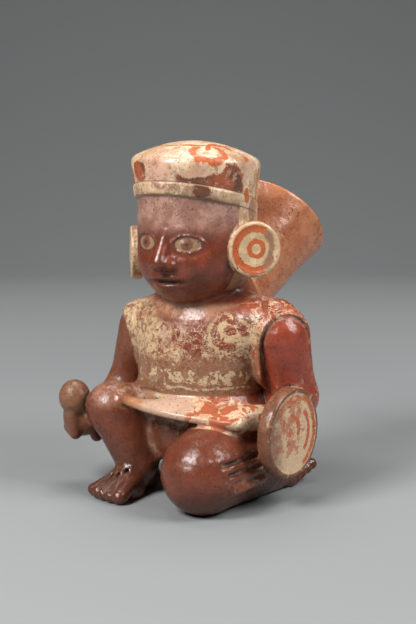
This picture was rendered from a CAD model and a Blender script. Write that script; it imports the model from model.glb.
import math

import bpy
import numpy as np
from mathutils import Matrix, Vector


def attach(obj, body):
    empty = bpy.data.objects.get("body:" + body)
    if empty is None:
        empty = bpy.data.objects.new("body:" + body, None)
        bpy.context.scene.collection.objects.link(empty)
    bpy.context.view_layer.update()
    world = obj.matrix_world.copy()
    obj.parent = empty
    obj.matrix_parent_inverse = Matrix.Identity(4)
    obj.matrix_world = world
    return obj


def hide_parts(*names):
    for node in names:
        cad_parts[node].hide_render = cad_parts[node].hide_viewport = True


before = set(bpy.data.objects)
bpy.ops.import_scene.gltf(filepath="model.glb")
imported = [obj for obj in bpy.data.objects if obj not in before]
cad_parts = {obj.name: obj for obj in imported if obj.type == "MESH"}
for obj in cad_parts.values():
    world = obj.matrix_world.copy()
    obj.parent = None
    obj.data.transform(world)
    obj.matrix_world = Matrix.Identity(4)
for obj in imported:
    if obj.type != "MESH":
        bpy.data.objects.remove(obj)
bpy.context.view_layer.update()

# The vessel: one hollow piece of low-fired clay, modelled by hand as a kneeling warrior with a mace
# and a round shield, covered with burnished red slip, painted with cream slip and orange-red lines,
# and now worn, pitted and stained. In millimetres, facing -Y, with the figure's left side at +X.
stand = np.array([6.6, -18.3, 0.0])  # from the figure's middle to the middle of its footprint
wall = 5.5
cell = 1.15  # spacing of the samples
block = 8  # samples along a block that is skipped when it lies clear of the surface
most_triangles = 190000


# Forms: each is a function of points (an array of x, y, z) that gives the distance to the form
def mixed(a, b, t):
    return tuple(p + (q - p) * t for p, q in zip(a, b))


def bell(value, width):
    return np.exp(-((value / width) ** 2))


def step(value, width):
    return 1 / (1 + np.exp(-np.clip(value / width, -30, 30)))


def blend(radius, *forms):
    def form(p):
        result = forms[0](p)
        for other_form in forms[1:]:
            other = other_form(p)
            overlap = np.maximum(radius - np.abs(result - other), 0)
            result = np.minimum(result, other) - overlap * overlap / (4 * radius)
        return result
    return form


def inverse(form):
    return lambda p: -form(p)


def common(radius, a, b):
    return inverse(blend(radius, inverse(a), inverse(b)))


def carve(radius, a, b):
    return common(radius, a, inverse(b))


def grown(form, amount):
    return lambda p: form(p) - amount


def above(level):
    return lambda p: level - p[:, 2]


def below(level):
    return lambda p: p[:, 2] - level


def ellipsoid(middle, radii):
    middle = np.array(middle, np.float32)
    radii = np.array(radii, np.float32)

    def form(p):
        q = (p - middle) / radii
        k0 = np.sqrt((q * q).sum(1))
        q = q / radii
        k1 = np.sqrt((q * q).sum(1))
        return k0 * (k0 - 1) / np.maximum(k1, 1e-6)
    return form


def limb(start, end, radius_start, radius_end):
    a = np.array(start, np.float32)
    span = np.array(end, np.float32) - a
    square = float(span @ span)

    def form(p):
        q = p - a
        t = np.clip(q @ span / square, 0, 1)
        q = q - t[:, None] * span
        return np.sqrt((q * q).sum(1)) - (radius_start + (radius_end - radius_start) * t)
    return form


def sheet(inner, outer, radius_inner, radius_outer):
    start = np.array(outer(np.float32(0)), np.float32)
    span = np.array(outer(np.float32(1)), np.float32) - start
    square = float(span @ span)

    def form(p):
        share = np.clip((p - start) @ span / square, 0, 1)
        a = np.stack(np.broadcast_arrays(*inner(share)), 1)
        along = np.stack(np.broadcast_arrays(*outer(share)), 1) - a
        q = p - a
        t = np.clip((q * along).sum(1) / (along * along).sum(1), 0, 1)
        q = q - t[:, None] * along
        return (np.sqrt((q * q).sum(1)) - (radius_inner + (radius_outer - radius_inner) * t)) * 0.9
    return form


def axial(p, foot, axis):
    """Distance along an axis from its foot, and distance from the axis."""
    axis = np.array(axis, np.float32)
    axis = axis / np.linalg.norm(axis)
    q = p - np.array(foot, np.float32)
    along = q @ axis
    q = q - along[:, None] * axis
    return along, np.sqrt((q * q).sum(1))


def plate(radius, half, edge, rim, dish, middle, axis):
    """A round plate with rounded edges and a shallow dish inside its rim."""
    def form(p):
        along, away = axial(p, middle, axis)
        thick = half - dish * step(radius - rim - away, 0.25)
        u = away - (radius - edge)
        v = np.abs(along) - (thick - edge)
        corner = np.sqrt(np.maximum(u, 0) ** 2 + np.maximum(v, 0) ** 2)
        return corner + np.minimum(np.maximum(u, v), 0) - edge
    return form


hem = 66

# Torso: a barrel belly and chest under a yoke of sloping shoulders; the tunic ends in a hem
barrel = blend(14, ellipsoid((-2, 2, 74), (41.5, 37, 36)), ellipsoid((-1, 3, 98), (43, 34, 31)))
yoke = blend(
    10,
    limb((-40, 3, 103), (0, 5, 108), 15, 17),
    limb((0, 5, 108), (49, 4, 108), 17, 16.5),
)
torso = blend(16, barrel, yoke)
tunic = common(2, torso, above(hem))
neck = blend(8, limb((0, 6, 112), (0, -2, 142), 27, 26), limb((0, 10, 112), (0, 10, 122), 34, 24))
seat = blend(
    10,
    ellipsoid((0, 8, 43), (43, 34, 27)),
    ellipsoid((-1, 0, 60), (40, 34, 22)),
    ellipsoid((0, 22, 38), (38, 28, 39)),
)


# Face: a calm, regular mask in low relief on the front of the head
chin, mouth_line, nose_base, eye_line, brow = 121, 136, 143.5, 159, 166
eye_out, eye_wide, eye_high = 14.5, 7.6, 4.6
head_middle, head_radius, cap_rim = (0, -8, 157), 36.3, 187.5


def face_relief(x, z):
    side = np.abs(x)
    lid = np.hypot((side - eye_out) / eye_wide, (z - eye_line) / eye_high)
    brow_line = brow + 1.5 - 0.016 * (side - 13) ** 2
    relief = -2.4 * bell(side - eye_out, 11) * bell(z - eye_line - 1, 7)
    relief += 2.4 * np.maximum(1 - lid * lid, 0)
    relief += np.where(z > eye_line, 1.9, 1.3) * bell(lid - 1.12, 0.17)
    relief += 1.4 * bell(z - brow_line, 2.8) * bell(side - 15, 11)
    relief += 1.5 * bell(side - 20, 9) * bell(z - nose_base - 1, 9)
    relief += 2.3 * bell(z - mouth_line - 2.6, 2.2) * np.exp(-((x / 11) ** 4))
    relief += 2.3 * bell(z - mouth_line + 3, 2.4) * np.exp(-((x / 9.5) ** 4))
    relief -= 2.0 * bell(z - mouth_line, 1.1) * np.exp(-((x / 12) ** 4))
    relief += 1.8 * bell(x, 11) * bell(z - chin - 5, 5)
    return relief


crown = (head_middle[0], head_middle[1], cap_rim)


def cranium(extra):
    radius = head_radius + extra
    return common(5, limb(crown, head_middle, radius - 0.6, radius), below(cap_rim + 5))


skull = blend(10, cranium(0), ellipsoid((0, -14, chin + 21), (26, 27, 20)))
nostrils = blend(
    0.5,
    ellipsoid((-3.6, -48.8, nose_base + 0.4), (1.7, 2.2, 1.6)),
    ellipsoid((3.6, -48.8, nose_base + 0.4), (1.7, 2.2, 1.6)),
)
nose = carve(
    1,
    blend(
        3,
        limb((0, -41.5, brow - 1), (0, -49.5, nose_base + 4), 3, 4.2),
        limb((-5, -45, nose_base + 3), (5, -45, nose_base + 3), 3.5, 3.5),
    ),
    nostrils,
)


def mask(p):
    return skull(p) - face_relief(p[:, 0], p[:, 2]) * np.clip((-p[:, 1] - 10) / 14, 0, 1)


head = blend(3.5, mask, nose)


# Cap: a drum that widens upwards to a low crown, with a raised band and a guard behind the cheeks
height, cap_radius, headband = 219, 37.2, 8


def cap_lift(p):
    return p[:, 2] - cap_rim + (p[:, 1] + 44) * 0.25


def cap_drum(p):
    lift = cap_lift(p)
    edge = step(lift - 0.5, 0.3) - step(lift - headband, 0.3)
    rise = 0.8 * edge - 0.6 * bell(lift - headband, 0.7)
    radius = cap_radius + (p[:, 2] - 186) * 0.13
    return (np.hypot(p[:, 0] - crown[0], p[:, 1] - crown[1]) - radius - rise) * 0.98


def cap_lid(p):
    depth = p[:, 1] - crown[1]
    return (p[:, 2] - height + 0.05 * depth + 0.007 * (p[:, 0] ** 2 + depth ** 2)) * 0.95


cap = common(1.2, common(4.5, cap_drum, cap_lid), lambda p: -cap_lift(p))
guard = common(2, common(1.5, cranium(1.5), lambda p: -(p[:, 1] + 16)), above(chin + 7))
headgear = blend(1.5, cap, guard)

# Arms: the right one holds the mace on its knee, the left one lies along the left leg
arm_right = blend(
    8,
    limb((-47, 1, 99), (-60, 3, 64), 15, 11.5),
    limb((-60, 3, 60), (-66, -28, 48), 11, 9),
)
fist_fingers = [
    limb((-82.5, -31, 50 - 5 * i), (-70, -44 + i, 49 - 5 * i), 3.6, 3.6)
    for i in range(4)
]
fist = blend(3, ellipsoid((-71, -32, 43), (12.5, 11.5, 12)), *fist_fingers)
mace_grip = limb((-71, -36, 52), (-66, -24, 30), 4, 4)
mace_head = ellipsoid((-71, -40, 57.5), (10, 10, 11.2))
arm_left = blend(
    8,
    limb((54, 3, 101), (58, 13, 66), 16, 14),
    limb((58, 15, 60), (53, -10, 38), 12.5, 10),
)
knuckles, fingertips = ((48.5, -20, 36), (53, -20, 18)), ((45.6, -60.5, 35), (52.6, -51, 18))
fingers_left = [
    limb(mixed(*knuckles, i / 3), mixed(*fingertips, i / 3), 4.2, 3.4)
    for i in range(4)
]
gap_roots, gap_tips = ((52, -24, 37), (58, -24, 18)), ((49.6, -60, 36.5), (56.2, -50, 18.5))
finger_gaps = [
    limb(mixed(*gap_roots, t), mixed(*gap_tips, t), 1.9, 1.5)
    for t in (0.17, 0.5, 0.83)
]
hand_left = blend(2.5, limb((52, -8, 36), (50, -20, 29), 11, 8), *fingers_left)
arm_web = limb((47, 14, 96), (46, 14, 54), 9, 9)
wrist_web = limb((-50, 0, 52), (-50, -22, 53), 6, 6)

# Legs: the right knee is raised with its foot flat, the left leg kneels with its toes tucked under
knee_left, knee_left_radius = (30, -48, 23.2), 24
knee_right, ankle_right = (-47, -32, 52), (-29, -30, 17)
leg_right = blend(
    7,
    limb((-22, 4, 44), knee_right, 19, 15),
    limb(knee_right, ankle_right, 15.5, 12.5),
)
toes_right = [
    limb(
        (-25 - 17 * t, -40, 10 - 3 * t),
        (-22 - 25.5 * t, -60 + 7.5 * t * t, 4.6 - 0.6 * t),
        5 - t,
        5.0 - 1.3 * t,
    )
    for t in (0, 0.25, 0.5, 0.75, 1)
]
toe_gaps = [
    limb(
        (-26 - 13 * t, -41, 18.6 - 3 * t),
        (-23 - 25 * t, -62.6 + 7.5 * t * t, 7.6 - t),
        1.0,
        1.5,
    )
    for t in (0.14, 0.38, 0.62, 0.86)
]
instep = blend(
    8,
    limb((-30, -19, 8), (-31, -38, 11), 8.5, 10),
    ellipsoid((-34.5, -45, 3), (16, 15, 10)),
)
foot_right = blend(1.6, instep, *toes_right)
knee_left_top = (knee_left[0] - 1, knee_left[1] + 2, knee_left[2] + 3)
leg_left = blend(
    7,
    limb((25, 6, 44), knee_left_top, 22, knee_left_radius - 1),
    limb(knee_left, (41, 26, 10), knee_left_radius, 10.4),
)
toes_left = [
    limb((38, 34, 8), mixed((46.5, 30, 3.2), (51, 50, 11), t), 5, 3.7)
    for t in (0, 0.25, 0.5, 0.75, 1)
]
foot_left = blend(1.5, limb((34, 26, 9), (43, 38, 7.2), 9, 7.8), *toes_left)


# Clothes that stand proud of the body: each sleeve's end, with an arched armhole, and the loincloth
sleeve_left = carve(
    0.8,
    limb((52, 3, 101.5), (53, 6, 84), 19.6, 18.6),
    limb((65, -6, 50), (65, -6, 98.5), 18, 18),
)
sleeve_right = carve(
    0.8,
    limb((-45, 1, 100), (-47, 3, 84), 18, 17),
    limb((-58, -8, 50), (-58, -8, 95), 15.5, 15.5),
)
loincloth = ellipsoid((-6, -19, 38), (18, 13, 19))


# Skirt: a stiff apron over the lap, from the right knee down to the left thigh
skirt_lip = 2.6


def skirt_inner(t):
    return (-36 + 74 * t, -12 - 17 * np.sin(np.pi * t), 64.5 - 1.5 * t)


def skirt_outer(t):
    return (-52 + 98 * t, -32 - 4 * t - 13 * np.sin(np.pi * t), 62 - 9 * t)


skirt_side = limb((41, -26, 53), (54, -6, 53.5), 7.5, 8)
skirt = blend(8, sheet(skirt_inner, skirt_outer, 3.6, skirt_lip), skirt_side)

# Discs, shield and spout, which a potter turns or cuts as round plates and a cone
ear_disc_radius, ear_disc_half = 17, 3.8
ear_left, ear_left_axis = (41, -9, 155), (0.8, -0.6, 0.05)
ear_right, ear_right_axis = (-43.5, -10, 148.5), (-0.8, -0.6, 0)
shield_radius, shield_half = 27.5, 4.6
shield_middle, shield_axis = (66, -9, 45.5), (1, -0.08, 0)
spout_foot, spout_lean, spout_length = (0, 28.5, 115), math.radians(48), 74
spout_throat, spout_mouth, spout_wall = 22, 39.5, 4.6
spout_axis = (0, math.sin(spout_lean), math.cos(spout_lean))
disc_left = plate(ear_disc_radius, ear_disc_half, 1.8, 3, 0.5, ear_left, ear_left_axis)
disc_right = plate(ear_disc_radius, ear_disc_half, 1.8, 3, 0.5, ear_right, ear_right_axis)
shield = plate(shield_radius, shield_half, 2.0, 3.2, 0.6, shield_middle, shield_axis)


def spout_radius(along):
    share = np.clip(along / spout_length, -0.1, 1.1)
    return spout_throat + (spout_mouth - spout_throat) * (0.75 * share + 0.25 * share ** 3)


def spout_cone(p):
    along, away = axial(p, spout_foot, spout_axis)
    side = (away - spout_radius(along)) * 0.95
    rim = np.abs(away - spout_radius(along) + spout_wall / 2) * 0.3
    top = along - spout_length + rim * rim
    u = np.maximum(side + 1.5, 0)
    v = np.maximum(top + 1.5, 0)
    body = np.sqrt(u * u + v * v) + np.minimum(np.maximum(side, top) + 1.5, 0) - 1.5
    return np.maximum(body, -14 - along)


def spout_bore(p):
    along, away = axial(p, spout_foot, spout_axis)
    inside = (away - spout_radius(along) + spout_wall) * 0.95
    flare = 1.6 * bell(along - spout_length - 0.5, 1.6)
    return np.maximum(inside - flare, -24 - along)


def spout_point(along):
    return tuple(value + along * spout_axis[i] for i, value in enumerate(spout_foot))


spout_root = limb(spout_point(-12), spout_point(6), spout_throat - 1, spout_throat)
inner_way = limb((0, 8, 140), (0, 40, 140), 3.6, 3.6)

# The whole skin, from the large forms to the small ones
trunk = blend(1.5, blend(10, tunic, neck), seat, loincloth)
with_head = blend(0.8, blend(2.5, trunk, head), headgear)
with_legs = blend(9, with_head, leg_right, leg_left)
with_feet = carve(1, blend(3, with_legs, skirt, foot_right, foot_left), blend(0.5, *toe_gaps))
arm_on_knee = blend(3, arm_right, fist, wrist_web)
arms = blend(1.2, arm_on_knee, blend(6, arm_left, arm_web), sleeve_left, sleeve_right)
with_hand = carve(1, blend(2.5, with_feet, hand_left), blend(0.5, *finger_gaps))
modelled = blend(8, blend(1.2, with_hand, arms, mace_grip), spout_root)
skin = blend(0.8, modelled, disc_left, disc_right, shield, mace_head, spout_cone)

# The hollow: the large forms alone, drawn in by the wall, and the bore of the spout
cap_core = common(2, common(4.5, cap_drum, cap_lid), above(cap_rim - 4))
hollow_forms = blend(12, torso, neck, seat, skull, cap_core)
hollow_legs = blend(7, grown(leg_right, -1), grown(leg_left, -2))
hollow = blend(3, grown(blend(8, hollow_forms, hollow_legs), -wall), spout_bore, inner_way)
clay = common(0.4, carve(1, skin, hollow), above(0))


def chunks(points, form, size=200000):
    """A form's distances at many points, a part at a time, to keep memory small."""
    points = points.astype(np.float32)
    return np.concatenate([form(points[n:n + size]) for n in range(0, len(points), size)])


def sample(form, low, shape):
    """Distances on a grid. Blocks whose middle is far from the surface keep that one value."""
    blocks = np.indices(tuple(-(-n // block) for n in shape)).reshape(3, -1).T * block
    half = (block - 1) / 2
    centre = chunks(low + (blocks + half) * cell, form)
    values = np.empty(tuple(-(-n // block) * block for n in shape), np.float32)
    offsets = np.indices((block, block, block)).reshape(3, -1).T
    for start, distance in zip(blocks, centre):
        i, j, k = start
        values[i:i + block, j:j + block, k:k + block] = distance
    near = blocks[np.abs(centre) < 2.2 * half * cell]
    for n in range(0, len(near), 400):
        some = near[n:n + 400]
        index = (some[:, None, :] + offsets[None]).reshape(-1, 3)
        values[tuple(index.T)] = chunks(low + index * cell, form)
    return values


def slope(form, points, reach=0.3):
    """The form's gradient at each point."""
    sides = []
    for axis in range(3):
        shift = np.zeros(3, np.float32)
        shift[axis] = reach
        sides.append((chunks(points + shift, form) - chunks(points - shift, form)) / (2 * reach))
    return np.stack(sides, 1)


def skinned(form, low, high):
    """One vertex in each grid cell that the form's surface crosses, drawn onto the surface."""
    low = np.array(low, float)
    shape = np.ceil((np.array(high) - low) / cell).astype(int) + 1
    values = sample(form, low, shape)
    inside = values < 0
    corners = np.indices((2, 2, 2)).reshape(3, -1).T
    size = tuple(n - 1 for n in values.shape)

    def corner_view(grid, corner):
        return grid[tuple(slice(c, c + n) for c, n in zip(corner, size))]

    count = sum(corner_view(inside, corner).astype(np.int8) for corner in corners)
    cells = np.argwhere((count > 0) & (count < 8))
    total = np.zeros((len(cells), 3))
    crossings = np.zeros(len(cells))
    for corner in corners:
        for axis in range(3):
            if corner[axis]:
                continue
            a = values[tuple((cells + corner).T)]
            b = values[tuple((cells + corner + np.eye(3, dtype=int)[axis]).T)]
            crossed = (a < 0) != (b < 0)
            t = np.where(crossed, a / np.where(crossed, a - b, 1), 0)
            spot = corner + t[:, None] * np.eye(3)[axis]
            total += spot * crossed[:, None]
            crossings += crossed
    points = low + (cells + total / crossings[:, None]) * cell
    for _ in range(2):
        gradient = slope(form, points)
        square = np.maximum((gradient ** 2).sum(1), 0.25)
        away = np.clip(chunks(points, form) / square, -cell / 3, cell / 3)
        points = points - away[:, None] * gradient
    number = np.full(values.shape, -1, np.int64)
    number[tuple(cells.T)] = np.arange(len(cells))
    faces = []
    for axis in range(3):
        along = [slice(1, n - 1) for n in values.shape]
        here = inside[tuple(along)]
        ahead = list(along)
        ahead[axis] = slice(2, values.shape[axis])
        there = inside[tuple(ahead)]
        edges = np.argwhere(here != there) + 1
        u = np.eye(3, dtype=int)[(axis + 1) % 3]
        v = np.eye(3, dtype=int)[(axis + 2) % 3]
        ring = np.stack([number[tuple((edges - s).T)] for s in (u + v, v, 0 * u, u)], 1)
        starts_inside = inside[tuple(edges.T)]
        faces.append(np.where(starts_inside[:, None], ring, ring[:, ::-1]))
    return points, np.concatenate(faces)


points, faces = skinned(clay, (-92, -82, -8), (86, 116, 226))
rough_mesh = bpy.data.meshes.new("vessel_rough")
rough_mesh.from_pydata(((points + stand) / 1000).tolist(), [], faces.tolist())
rough = bpy.data.objects.new("vessel_rough", rough_mesh)
bpy.context.scene.collection.objects.link(rough)
thinner = rough.modifiers.new("thinner", "DECIMATE")
thinner.ratio = min(1.0, most_triangles / (2 * len(faces)))
thinned = rough.evaluated_get(bpy.context.evaluated_depsgraph_get())
vessel_mesh = bpy.data.meshes.new_from_object(thinned)
vessel_mesh.name = "painted_vessel"
bpy.data.objects.remove(rough)
vessel = bpy.data.objects.new("painted_vessel", vessel_mesh)
bpy.context.scene.collection.objects.link(vessel)
vessel_mesh.shade_smooth()

# What the paint follows: how far each point lies from each painted form, and from hollows and edges
place = np.empty(len(vessel_mesh.vertices) * 3, np.float32)
vessel_mesh.vertices.foreach_get("co", place)
place = place.reshape(-1, 3) * 1000 - stand
normal = np.empty(len(vessel_mesh.vertices) * 3, np.float32)
vessel_mesh.vertices.foreach_get("normal", normal)
normal = normal.reshape(-1, 3)
sleeves = blend(0.5, sleeve_left, sleeve_right)


def layer(name, values):
    attribute = vessel_mesh.attributes.new(name, "FLOAT", "POINT")
    attribute.data.foreach_set("value", np.ascontiguousarray(values, np.float32))


layer("cap_near", chunks(place, headgear))
layer("tunic_near", np.minimum(chunks(place, tunic), chunks(place, sleeves)))
layer("skirt_near", chunks(place, skirt))
layer("discs_near", np.minimum(chunks(place, disc_left), chunks(place, disc_right)))
layer("shield_near", chunks(place, shield))
layer("spout_near", chunks(place, spout_cone))
layer("arm_left_near", chunks(place, blend(2, arm_left, hand_left)))
layer("arm_right_near", chunks(place, blend(2, arm_right, fist, mace_head)))
layer("legs_near", chunks(place, blend(2, leg_left, leg_right, foot_left, foot_right)))
layer("crease", 1 - chunks(place + normal * 3.0, clay) / 3.0)
layer("edge", 1 + chunks(place - normal * 2.0, clay) / 2.0)
layer("lap", chunks(place, grown(seat, 2.5)))


# The finish of the clay: slips, line paint, wear, pits and stains, worked out over the surface
class Wire:
    """One shader socket, with arithmetic."""

    tree = None

    def __init__(self, socket):
        self.socket = socket

    @classmethod
    def node(cls, kind, settings=None, out=0, **values):
        """A node of a kind, with its settings, then its sockets by name or by number (i0, i1)."""
        made = cls.tree.nodes.new(kind)
        for key, value in (settings or {}).items():
            setattr(made, key, value)
        for key, value in values.items():
            target = made.inputs[int(key[1:]) if key[1:].isdigit() else key.replace("_", " ")]
            if isinstance(value, Wire):
                cls.tree.links.new(value.socket, target)
            elif target.type == "RGBA":
                target.default_value = (*value, 1)
            else:
                target.default_value = value
        return cls(made.outputs[out])

    def maths(self, operation, *others):
        values = {f"i{n}": value for n, value in enumerate((self, *others))}
        return self.node("ShaderNodeMath", {"operation": operation}, **values)

    def __add__(self, other):
        return self.maths("ADD", other)

    def __sub__(self, other):
        return self.maths("SUBTRACT", other)

    def __mul__(self, other):
        return self.maths("MULTIPLY", other)

    def __truediv__(self, other):
        return self.maths("DIVIDE", other)

    def __rsub__(self, other):
        return self * -1.0 + other

    __radd__ = __add__
    __rmul__ = __mul__

    def size(self):
        return self.maths("ABSOLUTE")

    def least(self, other):
        return self.maths("MINIMUM", other)

    def most(self, other):
        return self.maths("MAXIMUM", other)

    def rise(self, low, high):
        """0 at low and 1 at high, smooth between; low may be the larger."""
        settings = {"interpolation_type": "SMOOTHSTEP"}
        ends = (low, high, 0.0, 1.0) if low < high else (high, low, 1.0, 0.0)
        names = ("From_Min", "From_Max", "To_Min", "To_Max")
        return self.node("ShaderNodeMapRange", settings, Value=self, **dict(zip(names, ends)))

    def between(self, low, high, soft=1.0):
        return self.rise(low - soft, low + soft) * self.rise(high + soft, high - soft)

    def over(self, colour, under):
        """This much of a colour, laid over another one."""
        settings = {"data_type": "RGBA"}
        return self.node("ShaderNodeMix", settings, out=2, i0=self, i6=under, i7=colour)

    def shaded(self, amount):
        """This colour, made darker or lighter by an amount."""
        settings = {"data_type": "RGBA", "blend_type": "MULTIPLY"}
        return self.node("ShaderNodeMix", settings, out=2, i0=1.0, i6=self, i7=amount)


material = bpy.data.materials.new("painted_clay")
material.use_nodes = True
Wire.tree = material.node_tree
Wire.tree.nodes.clear()

coordinates = Wire.node("ShaderNodeTexCoord", out=3)
in_mm = Wire.node("ShaderNodeVectorMath", {"operation": "SCALE"}, i0=coordinates, Scale=1000.0)
spot = Wire.node("ShaderNodeVectorMath", {"operation": "SUBTRACT"}, i0=in_mm, i1=tuple(stand))
x = Wire.node("ShaderNodeSeparateXYZ", i0=spot)
y = Wire(x.socket.node.outputs[1])
z = Wire(x.socket.node.outputs[2])


def near(name):
    return Wire.node("ShaderNodeAttribute", {"attribute_name": name}, out=2)


def noise(size, seed, detail=4.0, rough=0.6, skew=0.0, place=None):
    """Noise from 0 to 1 with features of a size in millimetres."""
    return Wire.node(
        "ShaderNodeTexNoise", {"noise_dimensions": "4D"},
        Vector=place or spot, W=float(seed), Scale=1 / size, Detail=detail,
        Roughness=rough, Distortion=skew,
    )


def around(middle_x, middle_y, radius):
    """Distance round an upright axis from the front, in millimetres at a radius."""
    return (x - middle_x).maths("ARCTAN2", middle_y - y) * radius


def ragged(value, amount, seed, size=3.0):
    return value + (noise(size, seed, 3.0) - 0.5) * (2 * amount)


def torn(value, wide, seed, size, fine, fine_seed, fine_size):
    """A distance made ragged twice, in wide lobes and then in fine chips."""
    return ragged(ragged(value, wide, seed, size), fine, fine_seed, fine_size)


def stroke(across, half, ragged_by=0.5, seed=1):
    """A painted line where a distance across it is small."""
    return (ragged(across.size(), ragged_by, seed) - half).rise(0.35, -0.35)


def reach(u, v, at_u, at_v, wide=1.0):
    """Distance from a place in two flat directions, the first one narrowed."""
    a = (u - at_u) / wide
    b = v - at_v
    return (a * a + b * b).maths("SQRT")


def drawn_out(by):
    """The place on the vessel, with each axis scaled, so that a noise is drawn out along it."""
    return Wire.node("ShaderNodeVectorMath", {"operation": "MULTIPLY"}, i0=spot, i1=by)


# Burnished red-brown slip, with soft clouds from the firing and fine speckles
clouds = noise(34, 11, 3.0)
mottle = noise(9, 12, 6.0, 0.65)
grain = noise(1.6, 13, 4.0, 0.7)
specks = noise(1.15, 14, 2.0, 0.5)
sparse = noise(16, 15, 2.0)
streaks = noise(1.3, 16, 3.0, 0.55, place=drawn_out((1.0, 1.0, 0.16)))


def mottled(light, dark, low=0.35, high=0.65):
    """Two tones of a slip, mixed in soft spots."""
    return mottle.rise(low, high).over(light, dark)


red_slip, brown_slip, tan_clay = (0.215, 0.044, 0.020), (0.15, 0.048, 0.024), (0.31, 0.135, 0.068)
colour = clouds.rise(0.38, 0.62).over(red_slip, brown_slip)
colour = (mottle.rise(0.54, 0.74) * 0.4).over(tan_clay, colour)

on_left_arm = near("arm_left_near").rise(2.0, 0.4)
bright_red = mottled((0.34, 0.056, 0.027), (0.25, 0.040, 0.020))
colour = (on_left_arm * 0.8 * z.rise(34.0, 60.0)).over(bright_red, colour)
on_right_arm = near("arm_right_near").rise(1.5, 0.4)
arm_brown = mottled((0.22, 0.080, 0.036), (0.15, 0.047, 0.022), 0.4, 0.6)
colour = (on_right_arm * 0.7).over(arm_brown, colour)
on_legs = near("legs_near").rise(1.5, 0.4)
leg_sheen = (clouds * 0.5 + mottle * 0.5).rise(0.42, 0.6)
colour = (on_legs * 0.75).over(leg_sheen.over((0.185, 0.048, 0.023), (0.135, 0.031, 0.015)), colour)
rubbed_knee = on_legs * z.rise(50.0, 62.0) * mottle.rise(0.35, 0.6) * 0.6
colour = rubbed_knee.over((0.42, 0.23, 0.16), colour)
spout_near = near("spout_near")
on_spout = spout_near.size().rise(1.2, 0.4)
spout_tan = mottled((0.50, 0.20, 0.095), (0.39, 0.125, 0.056), 0.38, 0.62)
colour = (on_spout * 0.9).over(spout_tan, colour)
bore = spout_near.rise(-1.5, -3.0) * y.rise(24.0, 30.0)
colour = (bore * 0.8).over((0.20, 0.085, 0.048), colour)
mace = reach(x, z, -71.0, 57.5).rise(12.5, 11.0) * y.rise(-27.0, -30.0)
colour = (mace * 0.85).over(mottled((0.27, 0.13, 0.066), (0.19, 0.08, 0.040)), colour)
by_neck = reach(x, y, 0.0, 8.0).rise(42.0, 34.0)
on_neck = z.between(111.0, 124.0, 3.0) * on_spout.rise(0.9, 0.1) * by_neck
neck_tan = mottled((0.46, 0.24, 0.145), (0.31, 0.13, 0.075), 0.4, 0.6)
colour = (on_neck * 0.85).over(neck_tan, colour)

# Face: glossy red slip that thins to pink over the brow, tan eyes with brown irises
on_cap = near("cap_near").rise(0.45, 0.15)
on_discs = near("discs_near").rise(0.7, 0.3)
on_face = z.rise(119.0, 123.0) * on_cap.rise(0.9, 0.1) * on_discs.rise(0.9, 0.1) * y.rise(4.0, -2.0)
face_red = mottled((0.20, 0.041, 0.018), (0.135, 0.031, 0.015), 0.42, 0.62)
colour = on_face.over(face_red, colour)
blush = on_face * ragged(z, 3.0, 61, 8.0).rise(160.0, 176.0)
colour = (blush * 0.45 + blush * mottle.rise(0.4, 0.55) * 0.35).over((0.46, 0.27, 0.21), colour)
lid = reach(x.size(), z, eye_out, float(eye_line), eye_wide / eye_high) / eye_high
lid = lid + (grain - 0.5) * 0.10
in_eye = on_face * lid.rise(1.0, 0.90)
colour = (in_eye * mottle.rise(0.30, 0.42)).over((0.30, 0.18, 0.105), colour)
iris = reach(x.size() - eye_out, z, 0.0, float(eye_line)) + (mottle - 0.5) * 1.6
colour = (in_eye * iris.rise(4.2, 3.0) * 0.9).over((0.17, 0.058, 0.032), colour)
colour = (in_eye * iris.rise(1.8, 1.0) * 0.8).over((0.075, 0.028, 0.019), colour)
lash = on_face * stroke(lid - 1.06, 0.03, 0.0) * 0.6
colour = lash.over((0.085, 0.032, 0.022), colour)
lips = on_face * z.between(mouth_line - 0.5, mouth_line + 0.5, 0.5) * x.size().rise(12.0, 10.0)
colour = (lips * 0.7).over((0.07, 0.028, 0.02), colour)

# Cream slip and its wear. Each painted part has its own share that is still covered.
cream, light_cream, pink_cream = (0.55, 0.36, 0.205), (0.70, 0.52, 0.355), (0.52, 0.29, 0.205)
line_red, deep_red, umber = (0.47, 0.115, 0.036), (0.20, 0.040, 0.019), (0.13, 0.050, 0.026)
wear = noise(6.5, 21, 9.0, 0.72)
wear_fine = noise(2.2, 22, 6.0, 0.72)
ageing = wear * 0.6 + wear_fine * 0.4
tone = noise(15, 23, 4.0, 0.6)


def covered(share):
    """Where the slip is still on, if about this share of it is."""
    return (share - ageing).rise(-0.014, 0.014)


cream_tone = tone.rise(0.4, 0.6).over(light_cream, cream)
cream_tone = (noise(21, 24, 3.0).rise(0.5, 0.62) * 0.7).over(pink_cream, cream_tone)

# Cap: cream, with open hooks on the crown, a stepped red field above the band, and side strokes
side_radius = 41.0
cap_round = around(float(crown[0]), float(crown[1]), side_radius)
cap_out = reach(x, y, float(crown[0]), float(crown[1]))
cap_up = z + (side_radius - cap_out).most(0.0) * 0.8
cap_turn = torn(cap_round.maths("WRAP", 77.0, -9.0), 4.5, 25, 6.0, 1.3, 28, 1.6)
cap_rise = torn(cap_up, 4.5, 26, 6.0, 1.3, 29, 1.6)
lift = z - cap_rim + (y + 44.0) * 0.25
above_band = lift.rise(headband - 0.3, headband + 0.6)
hook = stroke(reach(cap_turn, cap_rise, 33.0, 221.0) - 12.0, 2.9) * cap_rise.rise(230.0, 228.0)
hook_tail = stroke(reach(cap_turn, cap_rise, 46.0, 222.0) - 12.5, 2.2) * cap_rise.rise(222.0, 225.0)
top_line = stroke(cap_up - 231.0 - (tone - 0.5) * 14.0, 1.3, 0.6, 30)
top_line = top_line * (tone + 0.12 - wear).rise(-0.01, 0.03)
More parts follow.
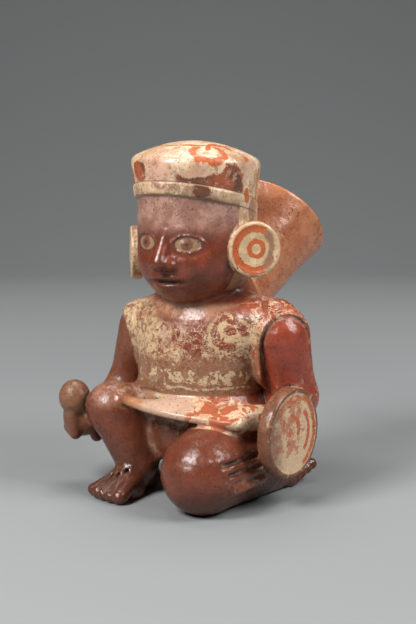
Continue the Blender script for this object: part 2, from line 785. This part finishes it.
left_blotch = (reach(cap_round, cap_up, -20.0, 203.0, 1.3) + (wear - 0.5) * 9.0).rise(6.2, 5.4)
field_top = cap_rise - tone * 10.0 - cap_turn.between(41.0, 52.0, 2.5) * 6.0
red_field = (cap_turn.between(10.0, 57.0, 2.0) * field_top.rise(196.6, 195.4)).most(left_blotch)
side_strokes = stroke(cap_round.size() - 76.0, 1.3) * z.between(178.0, 203.0)
side_dots = reach(cap_round.size(), z, 61.0, 187.0, 0.6).rise(5.2, 4.2)
side_dots = side_dots.most(reach(cap_round.size(), z, 60.0, 209.0, 1.4).rise(2.4, 1.6))
cap_red = hook.most(hook_tail).most(top_line)
cap_colour = cream_tone
cap_blush = reach(cap_round, cap_up, -2.0, 206.0, 0.55).rise(22.0, 6.0)
cap_colour = (cap_blush * 0.75).over((0.66, 0.36, 0.275), cap_colour)
dirt = noise(12, 31, 3.0).rise(0.46, 0.56) * (0.50 - wear_fine).rise(-0.02, 0.04)
cap_colour = (dirt * 0.7).over((0.36, 0.21, 0.12), cap_colour)
field_colour = tone.rise(0.45, 0.6).over((0.36, 0.088, 0.036), umber)
cap_colour = (above_band * red_field * covered(0.545)).over(field_colour, cap_colour)
cap_colour = (cap_red * above_band * covered(0.58)).over(line_red, cap_colour)
cap_colour = (side_dots.most(side_strokes) * covered(0.56)).over(line_red, cap_colour)
in_band = lift.rise(0.0, 0.8) * lift.rise(headband, headband - 0.8) * y.rise(26.0, 20.0)
band_dirt = in_band * (0.50 - ageing).rise(0.03, -0.03) * noise(19, 27, 2.0).rise(0.42, 0.55)
cap_colour = (band_dirt * 0.75).over((0.25, 0.145, 0.08), cap_colour)
band_patch = in_band * (ageing * 12.0 + reach(cap_turn, z, 26.0, 191.0, 1.3)).rise(11.2, 10.0)
cap_colour = band_patch.over(umber, cap_colour)
side_patch = reach(cap_round.size(), z, 69.0, 177.0, 0.6) + (wear - 0.5) * 5.0
cap_colour = (side_patch.rise(9.0, 7.6) * 0.8).over((0.29, 0.135, 0.078), cap_colour)
cap_worn = covered(0.55) * y.rise(40.0, 10.0).most(covered(0.50))
cap_bare = (1.0 - cap_worn) * 0.8
cap_colour = cap_bare.over((0.40, 0.185, 0.10), cap_colour)
grooves = stroke(lift - headband, 0.35, 0.1).most(stroke(lift, 0.45, 0.1) * y.rise(10.0, 0.0))
cap_colour = (grooves * 0.6).over((0.16, 0.082, 0.05), cap_colour)
jaw_guard = ragged(z, 3.0, 65, 6.0).rise(150.0, 144.0)
cap_colour = (jaw_guard * 0.85).over((0.31, 0.135, 0.072), cap_colour)
colour = on_cap.over(cap_colour, colour)

# Ear discs: a wide orange ring, worn away towards the back, round a small ring on cream
is_left = x.rise(-1.0, 1.0)
right_middle = (-ear_right[0], *ear_right[1:])
middle_x, middle_y, middle_z = [is_left * (a - b) + b for a, b in zip(ear_left, right_middle)]
disc_across = (x.size() - middle_x) * 0.6 + (y - middle_y) * 0.8
disc_up = z - middle_z
disc_u = torn(disc_across, 1.3, 31, 4.0, 0.5, 35, 1.5)
disc_v = torn(disc_up, 1.3, 32, 4.0, 0.5, 36, 1.5)
disc_out = reach(disc_u, disc_v, 0.0, 0.0)
disc_edge = reach(disc_across, disc_up, 0.0, 0.0)
disc_colour = wear.rise(0.4, 0.6).over((0.60, 0.43, 0.26), (0.46, 0.31, 0.17))
outer_ring = disc_out.between(10.4, 14.9, 0.4) * (disc_u + (tone - 0.5) * 12.0).rise(7.5, 5.5)
worn_side = disc_out.between(9.0, 14.0, 0.8) * (disc_u + (wear - 0.5) * 12.0).between(5.0, 12.0)
disc_colour = (worn_side * 0.85).over((0.26, 0.115, 0.068), disc_colour)
inner_ring = stroke(reach(disc_u, disc_v, 0.8, 0.4) - 4.5, 1.5)
disc_red = outer_ring.most(inner_ring) * covered(0.60)
disc_colour = disc_red.over((0.45, 0.105, 0.032), disc_colour)
disc_colour = (disc_edge.between(15.4, 16.3, 0.3) * 0.8).over((0.62, 0.40, 0.25), disc_colour)
disc_side = covered(0.5).over((0.46, 0.30, 0.17), (0.29, 0.13, 0.07))
disc_colour = disc_edge.rise(16.5, 16.9).over(disc_side, disc_colour)
colour = on_discs.over(disc_colour, colour)

# Tunic: cream mottled with red islands and curling lines, rubbed bare over the belly
on_tunic = near("tunic_near").rise(1.1, 0.4) * (1.0 - on_discs) * (1.0 - on_left_arm)
below_neck = z.rise(121.0, 115.0).most(1.0 - by_neck)
on_tunic = on_tunic * z.rise(hem - 1.5, float(hem)) * below_neck * (1.0 - bore)
tunic_turn = around(-2.0, 3.0, 42.0)
chest = ragged(z, 4.0, 41, 8.0).rise(85.0, 91.0)
right_side = ragged(tunic_turn, 4.0, 49, 9.0).rise(-14.0, -24.0)
left_side = ragged(tunic_turn, 4.0, 50, 9.0).rise(8.0, 18.0)
yoke_red = ragged(z, 3.5, 42, 8.0).rise(113.0, 117.0) * x.rise(8.0, 18.0)
yoke_red = yoke_red.most(ragged(x, 2.0, 64, 5.0).rise(44.0, 48.0))
slip_share = 0.522 + right_side * 0.018 - left_side * 0.045 - (1.0 - chest) * 0.075
slip_share = slip_share - yoke_red * 0.15 - y.rise(4.0, 20.0) * 0.05
chest_bare = left_side.over((0.19, 0.064, 0.032), (0.30, 0.125, 0.068))
tunic_bare = chest.over(chest_bare, (0.245, 0.105, 0.054))
tunic_bare = (mottle.rise(0.5, 0.7) * 0.5).over((0.34, 0.165, 0.095), tunic_bare)
shoulder_red = mottled((0.33, 0.078, 0.038), (0.25, 0.056, 0.028), 0.4, 0.6)
tunic_bare = yoke_red.over(shoulder_red, tunic_bare)
pink_glaze = noise(17, 43, 3.0).rise(0.45, 0.55) * (1.0 - right_side)
tunic_slip = pink_glaze.over((0.41, 0.235, 0.175), (0.55, 0.375, 0.215))
slip_on = covered(slip_share)
tunic_colour = slip_on.over(tunic_slip, tunic_bare)
spotted = (noise(3.2, 52, 5.0, 0.7) - 0.515).rise(0.0, 0.02) * right_side * 0.9
tunic_colour = spotted.over((0.26, 0.115, 0.06), tunic_colour)
islands = noise(11, 44, 6.0, 0.66, 0.8)
island = islands.rise(0.518, 0.526) * (chest * 0.95 + 0.05) * (1.0 - right_side * 0.5)
curl_line = (islands - 0.508).size().rise(0.018, 0.009) * (0.2 + chest * 0.8) * covered(0.56)
island_colour = tone.rise(0.45, 0.55).over((0.34, 0.092, 0.042), deep_red)
tunic_colour = island.over(island_colour, tunic_colour)
tunic_colour = curl_line.over((0.60, 0.42, 0.25), tunic_colour)
turn = torn(tunic_turn, 5.0, 45, 8.0, 1.4, 53, 1.8)
rise = torn(z, 5.0, 46, 8.0, 1.4, 54, 1.8)
spiral_out = reach(turn, rise, 40.0, 104.5)
spiral_ground = spiral_out.rise(13.5, 11.0) * covered(0.535)
tunic_colour = spiral_ground.over((0.54, 0.37, 0.21), tunic_colour)
spiral_gap = turn.between(44.0, 52.0) * rise.between(96.0, 103.0)
spiral = stroke(spiral_out - 8.6 + (wear - 0.5) * 16.0, 2.0) * (1.0 - spiral_gap)
spiral = spiral.most(reach(turn, rise, 41.5, 106.5, 1.5).rise(3.0, 2.2))
patch = (reach(turn, rise, 16.0, 98.0, 1.2) + (wear - 0.5) * 26.0).rise(7.0, 6.2)
patch = patch.most((reach(turn, rise, 3.0, 103.0, 0.8) + (wear - 0.5) * 20.0).rise(5.0, 4.2))
veins = (noise(9, 67, 5.0, 0.62, 1.2) - 0.5).size()
veins = (veins - 0.034).size().rise(0.013, 0.006) * (chest * 0.85 + 0.1) * (1.0 - yoke_red * 0.9)
tunic_colour = (spiral.most(patch) * covered(0.58)).over(
    tone.rise(0.45, 0.6).over((0.21, 0.046, 0.022), deep_red), tunic_colour)
tunic_colour = (veins * covered(0.545)).over((0.60, 0.43, 0.26), tunic_colour)
blotches = noise(4.6, 55, 5.0, 0.6, 0.4, place=drawn_out((0.8, 0.8, 0.75)))
blotch_row = z.between(72.0, 83.0, 2.5) * tunic_turn.between(-20.0, 56.0, 3.0)
belly_marks = (blotches - 0.525 - (1.0 - blotch_row) * 0.2).rise(-0.008, 0.012)
tunic_colour = belly_marks.over((0.55, 0.39, 0.235), tunic_colour)
hem_line = stroke(z - 70.5 - (noise(14, 47, 2.0) - 0.5) * 6.0, 0.8, 0.9, 48) * covered(0.52)
tunic_colour = (hem_line * tunic_turn.between(-4.0, 56.0)).over((0.56, 0.40, 0.25), tunic_colour)
colour = on_tunic.over(tunic_colour, colour)

# Skirt: cream and pink, with red islands over the left thigh and a dark red lip
on_skirt = near("skirt_near").rise(3.6, 2.4) * (1.0 - on_tunic) * (1.0 - on_left_arm)
on_skirt = on_skirt * z.between(47.0, hem + 3.0) * y.rise(-4.0, -8.0) * (1.0 - on_right_arm)
skirt_right = ragged(x, 5.0, 51, 7.0).rise(15.0, 19.0)
skirt_left = ragged(x, 5.0, 56, 7.0).rise(-12.0, -20.0)
skirt_colour = covered(0.56).over(cream_tone, (0.42, 0.19, 0.11))
lap_pink = reach(x, y, 2.0, -44.0, 2.2).rise(14.0, 6.0) * 0.7
skirt_colour = lap_pink.over((0.47, 0.28, 0.205), skirt_colour)
skirt_colour = (skirt_right * islands.rise(0.485, 0.50)).over((0.41, 0.105, 0.045), skirt_colour)
skirt_edges = skirt_right * (islands - 0.47).size().rise(0.022, 0.012)
skirt_colour = skirt_edges.over((0.62, 0.42, 0.26), skirt_colour)
end_tan = x.rise(-24.0, -34.0).over((0.25, 0.09, 0.045), (0.40, 0.18, 0.085))
skirt_colour = (skirt_left * covered(0.55)).over(end_tan, skirt_colour)
edge = near("edge")
crease = near("crease")
lip = edge.rise(0.40, 0.60) * z.rise(62.0, 58.0) * y.rise(-26.0, -32.0)
skirt_colour = (lip * 0.85).over((0.25, 0.072, 0.036), skirt_colour)
colour = on_skirt.over(skirt_colour, colour)

# Shield: a tan rim round a cream face with orange arcs
on_shield = near("shield_near").rise(0.6, 0.25)
shield_across = (x - shield_middle[0]) * -shield_axis[1] + (y - shield_middle[1])
shield_up = z - shield_middle[2]
shield_u = torn(shield_across, 1.6, 55, 6.0, 0.7, 62, 1.8)
shield_v = torn(shield_up, 1.6, 56, 6.0, 0.7, 63, 1.8)
shield_out = reach(shield_u, shield_v, 0.0, 0.0)
shield_edge = reach(shield_across, shield_up, 0.0, 0.0)
shield_turn = shield_v.maths("ARCTAN2", shield_u)
shield_face = x.rise(68.0, 69.5) * shield_edge.rise(25.0, 24.2)
low_share = shield_v.rise(-4.0, -18.0) * 0.07 + shield_u.rise(4.0, 12.0) * 0.08
face_colour = covered(0.49 + low_share).over((0.62, 0.43, 0.26), (0.46, 0.175, 0.088))
arcs = stroke(shield_out - 22.6, 1.5, 0.5, 57) * shield_turn.between(-1.1, 1.15, 0.08)
arcs = arcs.most(stroke(shield_out - 16.4, 1.4, 0.5, 58) * shield_turn.between(-0.85, 0.8, 0.08))
inner_arc = reach(shield_u, shield_v, -3.0, 2.0)
arcs = arcs.most(stroke(inner_arc - 8.6, 1.5, 0.5, 59) * shield_turn.between(-0.4, 1.9, 0.08))
arcs = arcs.most(reach(shield_u, shield_v, -10.5, 8.0, 0.6).rise(3.0, 2.2))
arcs = arcs.most(reach(shield_u, shield_v, -4.0, 1.0, 0.6).rise(2.6, 1.8))
top_arc = stroke(shield_out - 20.5, 2.3, 0.5, 60) * shield_turn.between(1.2, 2.5, 0.08)
top_dots = wear_fine.rise(0.53, 0.56) * top_arc
face_colour = (arcs.most(top_arc) * covered(0.60)).over(line_red, face_colour)
face_colour = top_dots.over(cream, face_colour)
rim_bare = mottled((0.23, 0.093, 0.049), (0.15, 0.058, 0.030))
rim_colour = covered(0.42).over((0.46, 0.28, 0.16), rim_bare)
colour = on_shield.over(shield_face.over(face_colour, rim_colour), colour)

# Age: cream dust left in the hollows, dark deposits in the deepest, dark specks and small pits
dust_share = crease.rise(0.30, 0.60) * (1.0 - on_face)
dusty = dust_share * (noise(5, 71, 6.0, 0.7) - 0.5).rise(-0.03, 0.06)
colour = (dusty * 0.5).over((0.38, 0.26, 0.17), colour)
colour = (crease.rise(0.60, 0.95) * 0.75).over((0.050, 0.024, 0.016), colour)
loin = near("lap").rise(2.0, 0.5) * z.between(20.0, 58.0, 4.0) * y.rise(-12.0, -20.0)
loin = loin * (1.0 - on_legs)
colour = (loin * (0.5 - ageing).rise(-0.02, 0.04) * 0.7).over((0.36, 0.25, 0.15), colour)
colour = (on_left_arm * z.rise(84.0, 70.0) * covered(0.43)).over((0.44, 0.31, 0.23), colour)
smoked_side = ragged(x, 6.0, 66, 14.0).rise(8.0, -6.0)
smoked = on_legs * z.rise(50.0, 24.0) * smoked_side.most(z.rise(22.0, 6.0))
colour = (smoked * 0.55).over((0.070, 0.026, 0.014), colour)
pitted = specks.rise(0.615, 0.66) * sparse.rise(0.34, 0.56) * (1.0 - on_cap * 0.4)
colour = (pitted * 0.8).over((0.035, 0.018, 0.013), colour)
worn_edge = edge.rise(0.40, 0.75) * (mottle - 0.5).rise(-0.05, 0.08) * (1.0 - on_face)
colour = (worn_edge * 0.3).over((0.46, 0.24, 0.14), colour)
rim_line = on_spout * y.rise(40.0, 60.0) * edge.rise(0.30, 0.55)
colour = (rim_line * 0.8).over((0.50, 0.16, 0.06), colour)
colour = colour.shaded(0.82 + grain * 0.30 + streaks * 0.06)

slip_gloss = 0.27 + (mottle - 0.5) * 0.30 + (grain - 0.5) * 0.20
roughness = slip_gloss + (on_cap + on_discs + on_skirt) * 0.04 + crease.rise(0.3, 0.7) * 0.3
roughness = roughness + pitted * 0.3 + (on_right_arm + bore) * 0.12

relief = (noise(16, 81, 2.0) - 0.5) * 1.6 + (noise(4.5, 82, 4.0) - 0.5) * 0.42
relief = relief + (grain - 0.5) * 0.11 + (streaks - 0.5) * 0.015 - pitted * 0.25
relief = relief - grooves * on_cap * 0.3
relief = relief + slip_on * on_tunic * 0.12 + on_cap * cap_worn * 0.10
relief = relief + disc_red * on_discs * 0.10
bumpy = Wire.node("ShaderNodeBump", Strength=1.0, Distance=0.001, Height=relief)
shader = Wire.node(
    "ShaderNodeBsdfPrincipled",
    Base_Color=colour, Roughness=roughness, Normal=bumpy, IOR=1.5, Specular_IOR_Level=0.55,
)
surface = Wire.tree.nodes.new("ShaderNodeOutputMaterial")
Wire.tree.links.new(shader.socket, surface.inputs["Surface"])
vessel_mesh.materials.append(material)

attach(vessel, "root")
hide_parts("vessel")

# Studio: the vessel stands on a pale paper sweep that is level under it and bends up far behind.
# Soft boxes light it from high on the viewer's left and right, and from above and behind.
view_turn, view_rise, view_far = math.radians(32.0), math.radians(8.5), 0.850
aim = Vector((0.0092, -0.0167, 0.1125))
towards = Vector((
    math.sin(view_turn) * math.cos(view_rise),
    -math.cos(view_turn) * math.cos(view_rise),
    math.sin(view_rise),
))
rightwards = Vector((math.cos(view_turn), math.sin(view_turn), 0))
level = Vector((towards.x, towards.y, 0)).normalized()

camera_data = bpy.data.cameras.new("camera")
camera_data.sensor_fit = "VERTICAL"
camera_data.sensor_height = 36.0
camera_data.lens = 78.46
camera_data.clip_start = 0.01
camera = bpy.data.objects.new("camera", camera_data)
camera.location = aim + towards * view_far
camera.rotation_euler = towards.to_track_quat("Z", "Y").to_euler()
bpy.context.scene.collection.objects.link(camera)
bpy.context.scene.camera = camera


def soft_light(name, side, front, up, wide, power, colour):
    """A square softbox, placed from the aim to the viewer's right, towards the viewer, and up."""
    data = bpy.data.lights.new(name, "AREA")
    data.shape = "RECTANGLE"
    data.size, data.size_y = wide
    data.energy = power
    data.color = colour
    light = bpy.data.objects.new(name, data)
    light.location = aim + rightwards * side + level * front + Vector((0, 0, up))
    light.rotation_euler = (light.location - aim).to_track_quat("Z", "Y").to_euler()
    bpy.context.scene.collection.objects.link(light)


soft_light("left_box", -0.58, 0.54, 0.68, (0.40, 0.40), 14.5, (1.0, 0.985, 0.96))
soft_light("right_box", 0.72, 0.28, 0.66, (0.48, 0.48), 10.0, (1.0, 0.99, 0.975))
soft_light("top_box", -0.05, -0.24, 0.93, (0.50, 0.36), 4.8, (1.0, 0.99, 0.975))

world = bpy.data.worlds.new("studio_air")
world.use_nodes = True
world.node_tree.nodes["Background"].inputs["Color"].default_value = (0.78, 0.82, 0.84, 1)
world.node_tree.nodes["Background"].inputs["Strength"].default_value = 0.045
bpy.context.scene.world = world
bpy.context.scene.view_settings.view_transform = "Standard"

# The sweep: level under the vessel, then bent up behind it
flat_back, bend, wall_top, half_width, flat_front = 1.1, 1.0, 3.0, 3.2, 2.6
line = [(-flat_front, 0.0), (flat_back, 0.0)]
for n in range(1, 25):
    angle = math.radians(90 * n / 24)
    line.append((flat_back + bend * math.sin(angle), bend * (1 - math.cos(angle))))
line.append((flat_back + bend, wall_top))
corners = []
for back, up in line:
    for side in (-half_width, half_width):
        corners.append(rightwards * side - level * back + Vector((0, 0, up)))
quads = [(2 * n, 2 * n + 1, 2 * n + 3, 2 * n + 2) for n in range(len(line) - 1)]
sweep_mesh = bpy.data.meshes.new("paper_sweep")
sweep_mesh.from_pydata(corners, [], quads)
sweep_mesh.shade_smooth()
sweep = bpy.data.objects.new("paper_sweep", sweep_mesh)
bpy.context.scene.collection.objects.link(sweep)
paper = bpy.data.materials.new("pale_paper")
paper.use_nodes = True
Wire.tree = paper.node_tree
paper_place = Wire.node("ShaderNodeTexCoord", out=3)
paper_away = Wire.node("ShaderNodeVectorMath", {"operation": "LENGTH"}, out=1, i0=paper_place)
paper_shader = paper.node_tree.nodes["Principled BSDF"]
paper_tone = paper_away.rise(0.2, 1.1).over((0.43, 0.455, 0.458), (0.245, 0.257, 0.261))
Wire.tree.links.new(paper_tone.socket, paper_shader.inputs["Base Color"])
paper_shader.inputs["Roughness"].default_value = 0.85
paper_shader.inputs["Specular IOR Level"].default_value = 0.2
sweep_mesh.materials.append(paper)
